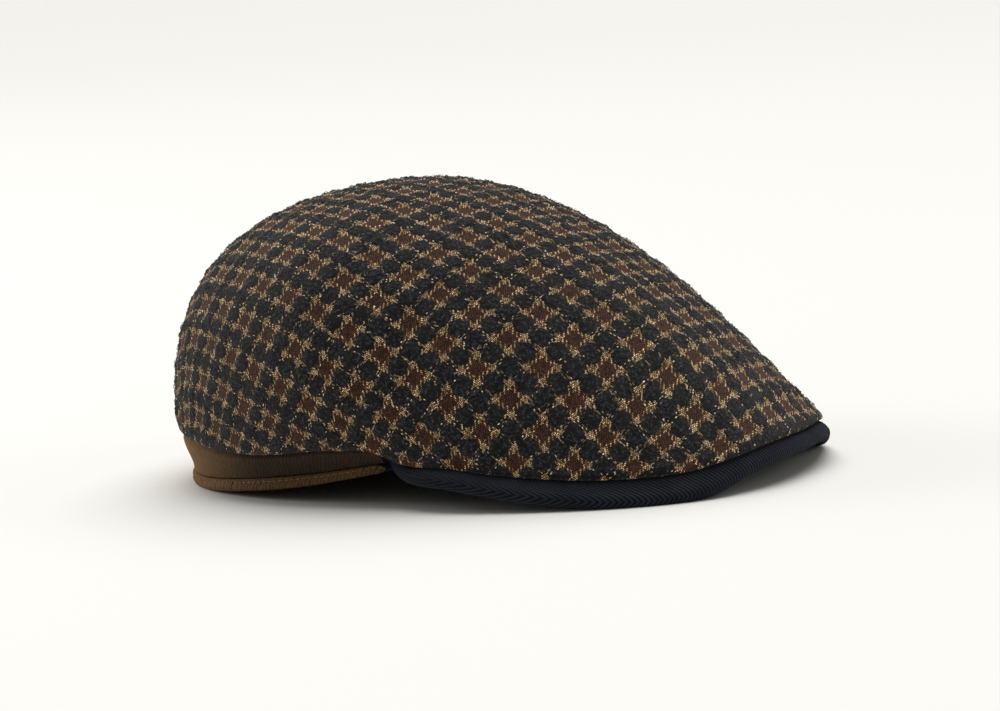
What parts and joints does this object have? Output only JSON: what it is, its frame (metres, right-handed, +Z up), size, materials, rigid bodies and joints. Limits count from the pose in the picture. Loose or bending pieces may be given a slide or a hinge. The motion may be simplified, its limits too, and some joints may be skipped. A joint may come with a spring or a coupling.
{
  "type": "flat cap",
  "caption": "Flat cap with a hollow check tweed crown drawn forward over a short needlecord peak, and a plain cloth band with a stitched hem round the back.",
  "frame": {"origin": "on the resting plane, under the middle of the cap's overall box", "axes": "+X towards the peak, +Y towards the wearer's left, +Z up"},
  "size_m": [0.2754, 0.1922, 0.1185],
  "materials": {
    "tweed": "matte boucle check tweed in rust, tan and charcoal navy",
    "needlecord": "dark navy needlecord with a soft sheen",
    "band_cloth": "plain brown fine-ribbed cloth",
    "hem_cloth": "plain brown cloth, turned and top-stitched"
  },
  "bodies": {
    "root": {"crown": "tweed", "peak": "needlecord", "back_band": "band_cloth", "band_hem": "hem_cloth"}
  },
  "joints": []
}
